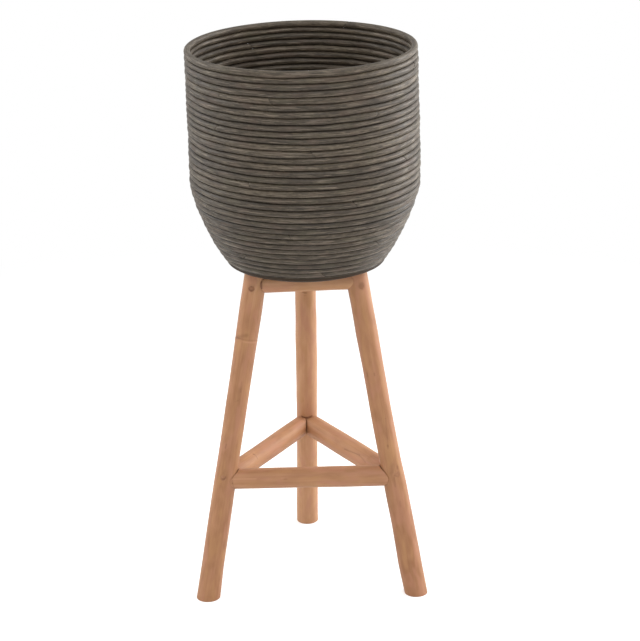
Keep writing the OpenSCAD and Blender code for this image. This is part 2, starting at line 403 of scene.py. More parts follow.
def make_cane(k, grooves_at, shades_at, material):
    """One row of the basket: a length of cane bent into a ring, its two slanted ends almost touching."""
    rng = np.random.default_rng(CANE_SEED + k)
    radius, height, down = ROW_R[k], ROW_Z[k], ROW_DOWN[k]
    length = TAU * radius - JOINT_GAP
    nodes = cane_nodes(rng, length)
    splice = rng.choice([-1, 1]) * rng.uniform(0.5, 1.2)
    u = cane_steps(length, nodes)
    start = math.radians(JOINT_START + k * JOINT_TURN) + JOINT_GAP / 2 / radius
    above, below = (groove(start + u / radius) for groove in grooves_at)
    half, middle = (above + below - SEAM) / 2, (below - above) / 2
    thick = CANE_R * (1 + 0.025 * ripple(rng, 0.4, 0.08)(u))
    stand_off = (rng.normal(0, 0.22) + 0.18 * ripple(rng, 0.6, 0.1)(u)) * MM
    from_end = np.minimum(u, length - u)
    worn = 1 - 0.07 * (1 - smooth(from_end, 0, 0.9 * MM))

    c, s = circle(CANE_AROUND)[1].T
    across = np.sign(c) * np.abs(c) ** (2 / CANE_SQUARE)
    along = np.sign(s) * np.abs(s) ** (2 / CANE_SQUARE)
    d = middle[:, None] + (half * worn)[:, None] * along
    shear = splice * (1 - smooth(from_end, 0.002, 0.03))
    u_at = u[:, None] + shear[:, None] * (d - middle[:, None])
    swell, at_node = np.zeros(d.shape), np.zeros(d.shape)
    # The rim row's tone is painted lighter for the light on its top; the other rows differ at random
    tone = np.full(d.shape, rng.uniform(-0.5, 0.5) if k else RIM_LIGHT_TONE)
    for at, slant in nodes:
        past = u_at - at - slant * d
        swell += rng.uniform(0.1, 0.3) * MM * bell(past, 1.4 * MM)
        swell -= 0.1 * MM * bell(past - 1.9 * MM, 0.8 * MM)
        at_node += rng.uniform(0.3, 1) * bell(past - 0.6 * MM, 1.3 * MM)
        tone += rng.normal(0, 0.5) * smooth(past, -0.4 * MM, 0.4 * MM)
    n = stand_off[:, None] + (thick * worn)[:, None] * across + swell * np.clip(across + 0.4, 0, 1)
    r = radius - n * down[1] + d * down[0]
    z = height + n * down[0] + d * down[1]
    angle = start + u_at / radius
    shade_above, shade_below = (stained(start + u / radius)[:, None] for stained in shades_at)
    # Painted shade in the grooves: darkest at a row's edges, reaching further onto its upper side
    edge = np.abs(along) ** np.where(along < 0, 1.5, 2) * np.where(along < 0, shade_above, shade_below)
    # Painted shade on the lowest row's outer face, in the shadow under the basket
    if k == len(HOOPS) - 1:
        edge = np.maximum(edge, BASE_EDGE_SHADE * smooth(along, -0.85, -0.65))

    # Each point's place in the basket, then its place in the straight cane for the material to read
    straight = (u_at + k * CANE_GRAIN_APART, n, d)
    surface = np.stack([r * np.cos(angle), r * np.sin(angle), z, *straight], -1).reshape(-1, 6)
    caps, faces = cane_ends(surface)
    surface = np.concatenate([surface, caps])
    faces = tube_quads(len(u), CANE_AROUND, True) + faces
    obj = mesh_object(f"cane_{k + 1:02d}", settle(surface[:, :3]) + np.array(AXIS), faces)
    set_attribute(obj, "grain", surface[:, 3:])
    looks = (("groove", edge, 0.5), ("mark", np.clip(at_node, 0, 1), 0.5), ("tone", np.clip(tone, -1, 1), 0))
    for name, values, at_cut in looks:
        set_attribute(obj, name, np.append(values, np.full(len(caps), at_cut)))
    finish_piece(obj, material, [HOOPS[k]], 50)


def make_basket(material):
    """All rows, each sharing a groove with the next. The top and the bottom edge of the basket are free."""
    pitch = np.linalg.norm([ROW_R[1] - ROW_R[0], ROW_Z[1] - ROW_Z[0]])

    def above(k):
        return (lambda angle: pitch - below[k - 1](angle)) if k else even(CANE_R)

    below = [*grooves(pitch), even(CANE_R)]
    row_shades = [even(1.0), *groove_shades(), even(1.0)]
    for k in range(len(HOOPS)):
        make_cane(k, (above(k), below[k]), row_shades[k : k + 2], material)


# The stand's poles


def unit(degrees):
    a = math.radians(degrees)
    return Vector((math.cos(a), math.sin(a), 0))


def leg_axis_r(z):
    return FOOT_R + (TOP_R - FOOT_R) * z / STAND_H


def leg_at(k, z):
    """Centre line of leg k at height z."""
    return AXIS + unit(LEG_ANGLES[k % 3]) * leg_axis_r(z) + Vector((0, 0, z))


def leg_way(k):
    """Direction of leg k, from its foot to its top."""
    return (leg_at(k, STAND_H) - leg_at(k, 0)).normalized()


def leg_radius(t):
    """Radius of a leg a length t up along it."""
    return LEG_R + (FOOT_END_R - LEG_R) * np.clip(1 - np.asarray(t) / FOOT_TAPER, 0, 1)


def fuller(node, t, turn):
    """How much thicker a pole is than a true round one, a length t along it and turned around it."""
    extra = np.zeros(np.broadcast(t, turn).shape)
    for side, steps in FULLER.get(node, []):
        places, amounts = zip(*steps)
        grown = np.interp(np.asarray(t) / MM, places, amounts) * MM
        extra = extra + grown * (1 + np.cos(turn - math.radians(side))) / 2
    return extra


def leg_surface_r(leg, t, way):
    """Radius of a leg a length t up along it, on the side that a direction points to."""
    side = leg_way(leg).cross(UP).normalized()
    up = side.cross(leg_way(leg))
    turn = math.atan2(way.dot(up), way.dot(side))
    return float(leg_radius(t) + fuller(LEGS[leg], t, turn))


def plane_cut(point, normal):
    """An end cut by a plane: how far along the pole a line off its centre meets the plane."""
    point, normal = Vector(point), Vector(normal)

    def cut(origin, way, offsets):
        base = (point - origin).dot(normal) - offsets @ np.array(normal)
        return base / way.dot(normal)

    return cut


def meet_leg(leg, points, way, radius, end):
    """How far along a way points lie from a leg's surface: its near side if end is 1, its far one if -1."""
    foot, leg_dir, way = (np.array(v) for v in (leg_at(leg, 0), leg_way(leg), way))
    d = way - leg_dir * (way @ leg_dir)
    p = points - foot
    p = p - np.outer(p @ leg_dir, leg_dir)
    a, b, c = d @ d, 2 * p @ d, (p * p).sum(1) - radius**2
    root = np.sqrt(np.clip(b * b - 4 * a * c, 0, None))
    return (-b - end * root) / (2 * a)


def cope_cut(leg, z, end, gap_low, gap_high):
    """An end coped to a leg (-1 at the pole's start, 1 at its stop). The gap widens from below to above."""

    def cut(origin, way, offsets):
        leg_r = leg_surface_r(leg, z / math.cos(LEAN), -end * way)
        lift = np.clip((offsets[:, 2] / POLE_R + 1) / 2, 0, 1)
        reach = leg_r + gap_low + (gap_high - gap_low) * lift**2
        return meet_leg(leg, offsets + np.array(origin), way, reach, end)

    return cut


def make_pole(name, origin, way, length, radius, cuts, shape):
    """A round pole from origin along way. cuts gives both ends, and shape moves its surface.

    Returns the object and a function that turns world points into (along, across, up) of the pole.
    """
    side = way.cross(UP).normalized()
    up = side.cross(way).normalized()
    turn, ring = circle(POLE_AROUND, side, up)
    o, w = np.array(origin), np.array(way)

    def place(t, rho):
        return o + t[:, None] * w + rho[:, None] * ring

    def limit(end, rho):
        return cuts[end](origin, way, ring * np.asarray(rho)[..., None])

    rims = [shape(np.full(POLE_AROUND, t), turn) + radius(t) for t in (0.0, length)]
    low, high = limit(0, rims[0]), limit(1, rims[1])
    tall = high.mean() - low.mean()
    steps = np.linspace(low.mean(), high.mean(), max(8, int(tall / POLE_STEP)))
    fade = min(END_FADE, tall / 3)
    inner = [rim - POLE_BEVEL for rim in rims]
    rings = [place(limit(0, inner[0]), inner[0])]
    for t in steps:
        near_low = 1 - smooth(t, steps[0], steps[0] + fade)
        near_high = smooth(t, steps[-1] - fade, steps[-1])
        at = t + (low - low.mean()) * near_low + (high - high.mean()) * near_high
        at = np.clip(at, low + POLE_BEVEL, high - POLE_BEVEL)
        rings.append(place(at, radius(at) + shape(at, turn)))
    rings.append(place(limit(1, inner[1]), inner[1]))
    faces = tube_quads(len(rings), POLE_AROUND)

    # Each end is closed by smaller rings and a middle point
    count = len(rings) * POLE_AROUND
    for end, outer in enumerate((0, count - POLE_AROUND)):
        order = 1 if end else -1
        for rho in (inner[end] * share for share in END_RINGS):
            rings.append(place(limit(end, rho), rho))
            for j, i in neighbours(POLE_AROUND):
                faces.append((outer + j, outer + i, count + i, count + j)[::order])
            outer, count = count, count + POLE_AROUND
        rings.append((o + limit(end, inner[end] * 0).mean() * w)[None])
        faces += [(outer + j, outer + i, count)[::order] for j, i in neighbours(POLE_AROUND)]
        count += 1

    def straight(world):
        p = world - o
        return np.stack([p @ w, p @ np.array(side), p @ np.array(up)], 1)

    return mesh_object(name, np.concatenate(rings), faces), straight


def natural(name, seed, joints, size):
    """Shape of a pole's surface: its fuller sides, and slight waves but for where another pole meets it."""
    rng = np.random.default_rng(seed)
    slow, quick = ripple(rng, 0.5, 0.15), ripple(rng, 0.16, 0.05)
    oval, flats = rng.uniform(0, TAU, 2)

    def shape(t, turn):
        calm = np.ones_like(t)
        for at in joints:
            calm = calm * smooth(np.abs(t - at), 0.016, 0.04)
        waves = slow(t) * 0.6 + np.cos(2 * turn + oval) * slow(t + 3) * 0.7
        waves = waves + np.cos(3 * turn + flats) * quick(t) * 0.45
        return calm * size * waves + fuller(name, t, turn)

    return shape


def lathe(profile, around=24):
    """A closed turned solid, (points, faces), from (radius, height) pairs that start and end at radius 0."""
    _, ring = circle(around)
    rows = [np.column_stack([ring * r, np.full(around, z)]) for r, z in profile[1:-1]]
    tips = [[0, 0, profile[0][1]], [0, 0, profile[-1][1]]]
    return np.concatenate([*rows, tips]), closed_faces(len(rows), around)


def placed(points, at, way):
    """Points of a solid along +Z, set at a place and turned to point a way."""
    turn = np.array(UP.rotation_difference(way).to_matrix())
    return points @ turn.T + np.array(at)


def joined(name, solids):
    """One object made of several (points, faces) solids."""
    points, faces, count = [], [], 0
    for p, f in solids:
        points.append(p)
        faces += [tuple(i + count for i in face) for face in f]
        count += len(p)
    return mesh_object(name, np.concatenate(points), faces)


def drill(obj, holes):
    """Cuts the holes, a list of closed solids, out of the object."""
    cutter = joined("cutter", holes)
    modifier = obj.modifiers.new("holes", "BOOLEAN")
    modifier.operation, modifier.solver, modifier.object = "DIFFERENCE", "EXACT", cutter
    graph = bpy.context.evaluated_depsgraph_get()
    mesh = bpy.data.meshes.new_from_object(obj.evaluated_get(graph))
    obj.modifiers.clear()
    old, obj.data = obj.data, mesh
    mesh.name = obj.name
    bpy.data.meshes.remove(old)
    bpy.data.objects.remove(cutter)


def screw_hole(length, open_way, at, way):
    """The hole of a countersunk screw whose head's top lies at a place, with the way in behind it."""
    head, shank, end = HEAD_D / 2 + HOLE_GAP, SCREW_D / 2 + HOLE_GAP, length + HOLE_GAP
    profile = [(0, -open_way), (head, -open_way), (head, 0), (shank, HEAD_H), (shank, end), (0, end)]
    points, faces = lathe(profile)
    return placed(points, at, way), faces


def pole_out(k):
    return unit(LEG_ANGLES[k] + 60)


def pole_way(k):
    return unit(LEG_ANGLES[k] + 150)


def screw_places(z, flip):
    """(leg, pole, place of the top of the head, direction) of the six screws of a ring of poles."""
    places = []
    for k in range(3):
        for end in (0, 1):
            way = pole_way(k) * (1 - 2 * end)
            side = flip * SCREW_SIDES[k][end]
            at = leg_at(k + end, z + side * SCREW_RISE) - pole_out(k) * SCREW_INSET
            places.append(((k + end) % 3, k, at - way * (LEG_R - PLUG_T), way))
    return places


RAIL_SCREWS = screw_places(RAIL_Z, 1)
STRETCHER_SCREWS = screw_places(STRETCHER_Z, -1)
BASE_SCREWS = [
    (None, k, AXIS + pole_out(k) * (leg_axis_r(RAIL_Z) / 2) + UP * BOARD_HIGH.z, DOWN) for k in range(3)
]


# Flaws of each pole: (from and to along it in mm, from and to around it in degrees, width in mm, depth of
# the mark, negative for a pale one). A few are painted shade at joints, as noted below
FLAWS = {
    "leg_left": [
        (396, 403, 95, 37, 3.5, 0.45), (233, 239, 60, 57, 1.1, 0.5), (196, 200, 50, 47, 2.4, 0.25),
        (335, 319, 26, 23, 0.9, 0.35), (324, 307, 33, 30, 2.4, 0.3), (306, 304, 30, 42, 1.0, 0.25),
    ],
    "leg_right": [
        (339, 344, 193, 193, 1.1, 0.5), (339, 343, 152, 152, 1.1, 0.5), (171, 184, 152, 150, 1.4, 0.4),
        (229, 234, 153, 153, 1.2, 0.4), (192, 203, 160, 145, 5.0, 0.35), (196, 200, 122, 120, 1.1, 0.5),
        (189, 192, 150, 132, 1.6, -0.5), (140, 148, 146, 143, 1.6, 0.3), (309, 273.5, 127, 137, 0.8, 0.3),
        (273.5, 231.7, 137, 151, 0.8, 0.4), (301, 259, 140, 155, 0.8, 0.25),
    ],
    "leg_back": [
        (420.5, 421, 265, 286, 1.1, 0.75), (416, 416.4, 269, 281, 1.1, 0.35),
        (202.5, 201, 302, 277, 1.6, 0.9), (201, 203, 277, 244, 1.6, 0.9),
    ],
    "stretcher_left": [
        (173, 174, 118, 113, 1.2, 0.95), (172.4, 173.3, 124, 151, 1.0, 0.5), (168, 182, 98, 96, 5, -0.3),
        (22, 29, 118, 148, 1.0, 0.5), (32.3, 32.6, 166, 188, 1.2, 0.6),
    ],
    "stretcher_right": [
        (72, 110, 147, 161, 1.0, 0.55), (52, 71, 163, 148, 1.2, 0.4), (225, 220, 122, 148, 1.0, 0.4),
    ],
    # On the front stretcher, the second to fourth flaws are painted shade along the seams of its copes
    "stretcher_front": [
        (8, 44, 20, 18, 1.0, -0.45), (9.4, 9.4, 29, -5, 0.9, 0.6), (9.4, 11.8, -5, -43, 0.9, 0.5),
        (232.1, 235.6, 26, -2, 0.9, 0.6), (84, 88, 12, 12, 1.4, 0.35), (80, 84, 20, 20, 1.0, -0.3),
    ],
    # On the front rail, the first, third and fourth flaws are painted shade where the left leg's edge meets
    # it
    "rail_front": [
        (7.4, 7.6, 30, -28, 1.2, 1.0), (16, 140, 2, 26, 4.0, -0.55), (9.0, 9.1, 30, -25, 2.6, 0.3),
        (11, 17, 28, 26, 3.0, 0.3), (19, 34, 5, 5, 1.0, 0.25), (60, 66, 25, 25, 1.4, 0.35),
    ],
}


# Painted light and shade: how much lighter or darker a pole's wood is painted than the others, for the light
# that falls on it, and how much more so at a leg's foot (painted shade) and top (painted light, against the
# basket's shadow)
POLE_LIGHT_AND_SHADE = {"leg_left": -0.6, "leg_right": -0.6, "leg_back": 1.2, "rail_front": 1.2}
POLE_LIGHT_AND_SHADE |= {"stretcher_front": -0.4, "stretcher_left": -0.4}
FOOT_PAINTED_SHADE = {"leg_left": -0.4, "leg_right": -1.0}
TOP_PAINTED_LIGHT = {"leg_left": 1.2, "leg_right": 0.8}


def stain(place, flaw):
    """How strongly one flaw marks each point of a pole, from its straight places (along, across, up)."""
    start, stop, turn_start, turn_stop, width, depth = flaw
    around_mm = math.radians(1) * POLE_R / MM
    turn = np.degrees(np.arctan2(place[:, 2], place[:, 1]))
    p = np.stack([place[:, 0] / MM - start, ((turn - turn_start + 180) % 360 - 180) * around_mm], 1)
    line = np.array([stop - start, (turn_stop - turn_start) * around_mm])
    share = np.clip(p @ line / (line @ line), 0, 1)
    away = ((p - share[:, None] * line) ** 2).sum(1)
    return depth * np.exp(-away / width**2)


def plug_stain(leg, at, way, reach):
    """The stain at a plug: a soft ring, darkest on the side it faces, around a soft patch.

    A plug that the photograph shows, on the front of a leg, has a stain of its own.
    """
    own = PLUG_MARKS.get((LEGS[leg], at.z > STAND_H / 2), PLAIN_PLUG)
    facing, strength, patch, rise = own if way.y > 0.5 else PLAIN_PLUG
    place = np.array(at - way * reach + UP * rise)

    def mark(points):
        p = points - place
        away = np.linalg.norm(p, axis=1)
        side = np.clip(p @ np.array(facing) / np.maximum(away, MM), 0, 1)
        ring = bell(away - PLUG_RING_R, PLUG_RING_W)
        return ring * strength * (0.05 + side) + patch * bell(away, PLUG_PATCH_W)

    return mark


def dress_pole(obj, straight, seed, marks, material, node):
    """Stores what the wood material reads: place in the straight pole, tone with painted light and shade, and
    marks, a few of them painted shade at joints.
    """
    points = np.empty(len(obj.data.vertices) * 3)
    obj.data.vertices.foreach_get("co", points)
    points = points.reshape(-1, 3)
    place = straight(points)
    set_attribute(obj, "grain", place + np.array([seed * GRAIN_APART, 0, 0]))
    # Painted shade at a leg's foot and painted light at its top, under the basket
    foot_shade = FOOT_PAINTED_SHADE.get(node, 0.0) * (1 - smooth(place[:, 0], 0.1, 0.2))
    top_light = TOP_PAINTED_LIGHT.get(node, 0.0) * smooth(place[:, 0], 0.43, 0.475)
    set_attribute(obj, "tone", POLE_LIGHT_AND_SHADE.get(node, 0.0) + foot_shade + top_light)
    value = sum([mark(points) for mark in marks], np.zeros(len(points)))
    value = sum([stain(place, flaw) for flaw in FLAWS.get(node, [])], value)
    set_attribute(obj, "mark", np.clip(value, -1, 1))
    finish_piece(obj, material, [node], 30)


def leg_ring(leg, base):
    """A node of the left leg: a low pale ridge with a shallow groove over it. The pale fades to the left.

    Returns the leg's shape with the node, and its marks.
    """
    at = LEG_RING_Z / math.cos(LEAN)

    def shape(t, turn):
        past = t - at - 0.8 * MM * np.sin(turn + 1)
        node = 0.3 * MM * bell(past, 1.1 * MM) - 0.08 * MM * bell(past - 2.6 * MM, 1.2 * MM)
        return base(t, turn) + node

    def mark(points):
        p = points - np.array(leg_at(leg, 0))
        t = p @ np.array(leg_way(leg))
        strength = smooth(p[:, 0] - t * float(leg_way(leg)[0]), -11 * MM, -3 * MM)
        pale, dark = bell(t - at - 0.3 * MM, 1.6 * MM), bell(t - at - 2.9 * MM, 1.3 * MM)
        return 0.35 * dark - 0.45 * pale * strength

    return shape, [mark]


def make_leg(k, material):
    """A leg, cut flat at the floor and under the basket, with the holes of its screws."""
    name, length = LEGS[k], STAND_H / math.cos(LEAN)
    joints = [z / math.cos(LEAN) for z in (RAIL_Z, STRETCHER_Z)]
    shape, marks = natural(name, LEG_SEED + k, joints, LEG_WAVES), []
    if name == "leg_left":
        shape, marks = leg_ring(k, shape)
    origin, way = leg_at(k, 0), leg_way(k)
    cuts = plane_cut((0, 0, 0), UP), plane_cut((0, 0, STAND_H), UP)
    obj, straight = make_pole(f"pole_{name}", origin, way, length, leg_radius, cuts, shape)
    holes = []
    for leg, _, at, into in RAIL_SCREWS + STRETCHER_SCREWS:
        if leg == k:
            holes.append(screw_hole(POLE_SCREW_L, 2 * LEG_R, at, into))
            t = (at - origin).dot(way)
            reach = PLUG_T + leg_surface_r(k, t, -into) - float(leg_radius(t))
            marks.append(plug_stain(k, at, into, reach))
    drill(obj, holes)
    dress_pole(obj, straight, 1 + k, marks, material, name)


def make_cross_pole(k, z, name, screws, material, seed):
    """A rail or stretcher: coped to its two legs and mitred to its neighbours."""
    span = leg_axis_r(z) * math.sqrt(3)

    def end_cut(end, leg):
        """The cope and the mitre of an end, whichever cuts more of it off."""
        inward = unit(LEG_ANGLES[leg] + 90 - 180 * end)
        opened = LEGS[leg] == "leg_back" and name in STRETCHERS
        seam, shift = (BACK_SEAM, BACK_SHIFT) if opened else (MITRE_GAP, 0)
        mitre = plane_cut(AXIS + inward * (seam / 2) - Vector((shift, 0, 0)), inward)
        cope = cope_cut(leg, z, 2 * end - 1, *COPE_GAPS.get((name, LEGS[leg]), (COPE_GAP, COPE_GAP)))
        inner_of = np.minimum if end else np.maximum
        return lambda *line: inner_of(cope(*line), mitre(*line))

    base = natural(name, seed, [0, span], CROSS_WAVES)

    def flattened(t, turn):
        """The flat whittled on the front end of the stretcher on the right."""
        off_flat = np.cos(turn - math.radians(FLAT_TURN))
        depth = np.clip(POLE_R - FLAT_R / np.maximum(off_flat, 0.5), 0, None)
        return base(t, turn) - depth * (1 - smooth(t, FLAT_END - 3 * MM, FLAT_END + 3 * MM))

    cuts = end_cut(0, k), end_cut(1, (k + 1) % 3)
    shape = flattened if name == "stretcher_right" else base
    obj, straight = make_pole(f"pole_{name}", leg_at(k, z), pole_way(k), span, even(POLE_R), cuts, shape)
    holes = [screw_hole(POLE_SCREW_L, HOLE_GAP, at, into) for _, pole, at, into in screws if pole == k]
    if name in RAILS:
        holes.append(screw_hole(BASE_SCREW_L, HOLE_GAP, *BASE_SCREWS[k][2:]))
    drill(obj, holes)
    dress_pole(obj, straight, seed, [], material, name)


# Materials


class Graph:
    """Short ways to add and join the nodes of a new material, or of a new world."""

    def __init__(self, name, world=False):
        self.owner = (bpy.data.worlds if world else bpy.data.materials).new(name)
        self.owner.use_nodes = True
        self.nodes, self.links = self.owner.node_tree.nodes, self.owner.node_tree.links
        kind = "BACKGROUND" if world else "BSDF_PRINCIPLED"
        self.shader = next(node for node in self.nodes if node.type == kind)

    def put(self, socket, value):
        if isinstance(value, bpy.types.NodeSocket):
            self.links.new(value, socket)
        else:
            socket.default_value = value

    def add(self, kind, **values):
        """A new node. Names in small letters are its settings, and the others are its inputs."""
        node = self.nodes.new(kind)
        for key, value in values.items():
            if key.islower():
                setattr(node, key, value)
            else:
                self.put(node.inputs[key.replace("_", " ")], value)
        return node

    def attribute(self, name, output="Fac"):
        return self.add("ShaderNodeAttribute", attribute_name=name).outputs[output]

    def place(self):
        """Place in the object's own coordinates."""
        return self.add("ShaderNodeTexCoord").outputs["Object"]

    def z_of(self, vector):
        return self.add("ShaderNodeSeparateXYZ", Vector=vector).outputs["Z"]

    def noise(self, vector, along, across, detail, rough, distort=0.0, shift=0):
        """Noise with the given counts of waves in a metre along the grain and across it."""
        scale, place = (along, across, across), (shift, 0, 0)
        scaled = self.add("ShaderNodeMapping", Vector=vector, Scale=scale, Location=place).outputs["Vector"]
        kind = {"Scale": 1.0, "Detail": detail, "Roughness": rough, "Distortion": distort}
        return self.add("ShaderNodeTexNoise", Vector=scaled, **kind).outputs["Fac"]

    def math(self, operation, a, b=0.0, clamp=False):
        node = self.add("ShaderNodeMath", operation=operation, use_clamp=clamp)
        self.put(node.inputs[0], a)
        self.put(node.inputs[1], b)
        return node.outputs[0]

    def weighed(self, *terms):
        """The sum of (value, weight) pairs."""
        total = None
        for value, weight in terms:
            term = self.math("MULTIPLY", value, weight)
            total = term if total is None else self.math("ADD", total, term)
        return total

    def span(self, value, low, high, to_low=0.0, to_high=1.0):
        """A value from low to high, softly turned into one from to_low to to_high."""
        ends = {"From_Min": low, "From_Max": high, "To_Min": to_low, "To_Max": to_high}
        node = self.add("ShaderNodeMapRange", interpolation_type="SMOOTHSTEP", Value=value, **ends)
        return node.outputs["Result"]

    def ramp(self, value, stops):
        node = self.add("ShaderNodeValToRGB", Fac=value)
        elements = node.color_ramp.elements
        while len(elements) < len(stops):
            elements.new(0.5)
        for element, (position, colour) in zip(elements, stops):
            element.position, element.color = position, linear(colour)
        return node.outputs["Color"]

    def mix(self, share, a, b):
        a, b = (linear(c) if isinstance(c, tuple) else c for c in (a, b))
        return self.add("ShaderNodeMix", data_type="RGBA", Factor=share, A=a, B=b).outputs["Result"]

    def bump(self, height, strength, distance):
        node = self.add("ShaderNodeBump", Height=height, Strength=strength, Distance=distance)
        self.set(Normal=node.outputs["Normal"])

    def seen(self):
        """1 where the camera looks, also by a reflection or through glass, and 0 for all other light."""
        path = self.add("ShaderNodeLightPath").outputs
        seen = self.math("ADD", path["Is Camera Ray"], path["Is Glossy Ray"], True)
        return self.math("ADD", seen, path["Is Transmission Ray"], True)

    def set(self, **sockets):
        for key, value in sockets.items():
            self.put(self.shader.inputs[key.replace("_", " ")], value)


def linear(colour):
    """Screen colour from 0 to 255 as the linear colour that shaders take."""
    channels = [c / 255 for c in colour[:3]]
    return tuple(c / 12.92 if c <= 0.04045 else ((c + 0.055) / 1.055) ** 2.4 for c in channels) + (1.0,)


DARK_MARK = (96, 56, 34)
PLY_PITCH = 3.43 * MM


def cane_material():
    """Weathered grey-brown cane: long fibres, stained patches, painted shade held in the grooves and on the
    lowest row's outer face, and painted highlight dashes on the crests.
    """
    g = Graph("weathered_cane")
    grain = g.attribute("grain", "Vector")
    groove, mark, tone = (g.attribute(name) for name in ("groove", "mark", "tone"))
    fibres = g.noise(grain, 90, 1300, 2, 0.5)
    streaks = g.noise(grain, 46, 600, 1, 0.5)
    highlight_dashes = g.noise(grain, 38, 1100, 1, 0.3, shift=9)
    splits = g.noise(grain, 30, 480, 1, 0.3, shift=7)
    patches = g.noise(grain, 24, 80, 2, 0.5, distort=0.2)
    hue = g.noise(grain, 30, 60, 2, 0.5, shift=5)
    speckle = g.noise(grain, 150, 800, 2, 0.6)
    light = g.weighed((streaks, 0.25), (speckle, 0.6), (fibres, 0.4), (patches, 0.06), (tone, 0.07))
    shades = [(0.455, (40, 32, 20)), (0.605, (59, 49, 36)), (0.695, (69, 59, 45)), (0.885, (104, 92, 74))]
    colour = g.ramp(light, shades)
    colour = g.mix(g.span(hue, 0.55, 0.68, 0, 0.4), colour, (76, 70, 52))
    colour = g.mix(g.span(hue, 0.46, 0.34, 0, 0.45), colour, (83, 67, 55))
    # Painted highlight: light dashes along the crests of the rows, away from the grooves
    painted_highlight = g.math("MULTIPLY", g.span(highlight_dashes, 0.57, 0.63), g.span(groove, 0.6, 0.15, 0, 0.6))
    colour = g.mix(painted_highlight, colour, (130, 117, 101))
    colour = g.mix(g.span(splits, 0.45, 0.33, 0, 0.45), colour, (40, 31, 22))
    # Painted shade held in the grooves, wavering along them
    held = g.noise(grain, 22, 130, 3, 0.55, shift=2)
    stained = g.weighed((groove, 1.0), (held, 2.4))
    colour = g.mix(g.span(stained, 1.9, 3.1, 0, 0.78), colour, (36, 28, 19))
    colour = g.mix(g.math("MULTIPLY", mark, 0.35), colour, (48, 38, 28))
    # Painted shade on the lowest row's outer face: dark brown, with less reflection
    colour = g.mix(g.span(groove, 2.2, 3.0, 0, 0.9), colour, (52, 38, 24))
    g.set(Base_Color=colour, Specular_IOR_Level=g.span(groove, 2.2, 3.0, 0.5, 0.2))
    g.set(Roughness=g.span(streaks, 0.35, 0.65, 0.68, 0.54))
    g.bump(g.weighed((fibres, 0.5), (streaks, 0.35), (speckle, 0.35)), 0.9, 0.28 * MM)
    return g.owner


def pole_material(name):
    """Light brown pole: fine long fibres, soft pink and yellow streaks, a few dark flecks."""
    g = Graph(name)
    grain = g.attribute("grain", "Vector")
    mark, tone = g.attribute("mark"), g.attribute("tone")
    fibres = g.noise(grain, 9, 1100, 3, 0.55)
    streaks = g.noise(grain, 8, 190, 3, 0.5, distort=0.3)
    clouds = g.noise(grain, 28, 75, 2, 0.5, distort=0.3)
    hue = g.noise(grain, 20, 70, 2, 0.5, distort=0.2, shift=3)
    flecks = g.noise(grain, 60, 650, 2, 0.5)
    light = g.weighed((fibres, 0.2), (streaks, 0.33), (clouds, 0.47), (tone, 0.13))
    colour = g.ramp(light, [(0.26, (151, 104, 70)), (0.52, (174, 126, 89)), (0.78, (191, 145, 107))])
    colour = g.mix(g.span(hue, 0.54, 0.7, 0, 0.6), colour, (174, 128, 85))
    colour = g.mix(g.span(hue, 0.52, 0.34, 0, 0.6), colour, (175, 123, 95))
    colour = g.mix(g.span(flecks, 0.68, 0.8, 0, 0.3), colour, (124, 82, 56))
    colour = g.mix(g.span(mark, 0.0, 1.0, 0, 0.8), colour, DARK_MARK)
    colour = g.mix(g.span(mark, 0.0, -1.0, 0, 0.7), colour, (216, 162, 130))
    g.set(Base_Color=colour, Specular_IOR_Level=0.4)
    g.set(Roughness=g.span(fibres, 0.3, 0.75, 0.64, 0.53))
    g.bump(g.weighed((fibres, 0.6), (streaks, 0.3), (flecks, -0.2)), 0.5, 0.15 * MM)
    return g.owner


def plug_material():
    """A plug of the pole's wood, a little redder, with the dots of its end grain."""
    g = Graph("plug_end_grain")
    place = g.place()
    dots = g.noise(place, 1500, 1500, 2, 0.6)
    soft = g.noise(place, 220, 220, 2, 0.5)
    light = g.weighed((dots, 0.45), (soft, 0.55))
    colour = g.ramp(light, [(0.3, (150, 104, 73)), (0.5, (166, 119, 86)), (0.7, (178, 132, 98))])
    colour = g.mix(g.span(g.attribute("mark"), 0.0, 1.0, 0, 0.8), colour, DARK_MARK)
    g.set(Base_Color=colour, Specular_IOR_Level=0.35, Roughness=g.span(dots, 0.3, 0.7, 0.7, 0.5))
    g.bump(dots, 0.5, 0.1 * MM)
    return g.owner


def board_material():
    """Plywood, stained dark like the canes: a veneer face with a flat-sawn grain, and plies at its edge."""
    g = Graph("stained_plywood")
    place = g.place()
    fibres = g.noise(place, 40, 900, 3, 0.6)
    waves = g.noise(place, 5, 60, 3, 0.5, distort=0.8)
    light = g.weighed((fibres, 0.35), (waves, 0.65))
    face = g.ramp(light, [(0.3, (70, 58, 45)), (0.5, (88, 74, 59)), (0.7, (104, 89, 72))])
    ply = g.math("SINE", g.math("MULTIPLY", g.z_of(place), TAU / PLY_PITCH))
    edge = g.ramp(g.span(ply, -0.6, 0.6), [(0.0, (48, 39, 30)), (1.0, (64, 53, 41))])
    facing = g.z_of(g.add("ShaderNodeNewGeometry").outputs["True Normal"])
    flat = g.span(g.math("ABSOLUTE", facing), 0.4, 0.6)
    g.set(Base_Color=g.mix(flat, edge, face), Specular_IOR_Level=0.3)
    g.set(Roughness=g.span(fibres, 0.3, 0.7, 0.75, 0.6))
    g.bump(fibres, 0.4, 0.15 * MM)
    return g.owner


def steel_material():
    """Zinc-plated screw steel with faint turning marks."""
    g = Graph("zinc_steel")
    marks = g.noise(g.place(), 900, 900, 3, 0.6)
    spots = g.noise(g.place(), 250, 250, 2, 0.5)
    colour = g.ramp(spots, [(0.3, (168, 168, 160)), (0.7, (200, 200, 194))])
    g.set(Base_Color=colour, Metallic=1.0, Roughness=g.span(marks, 0.3, 0.7, 0.28, 0.48))
    g.bump(marks, 0.3, 0.05 * MM)
    return g.owner


# Small pieces


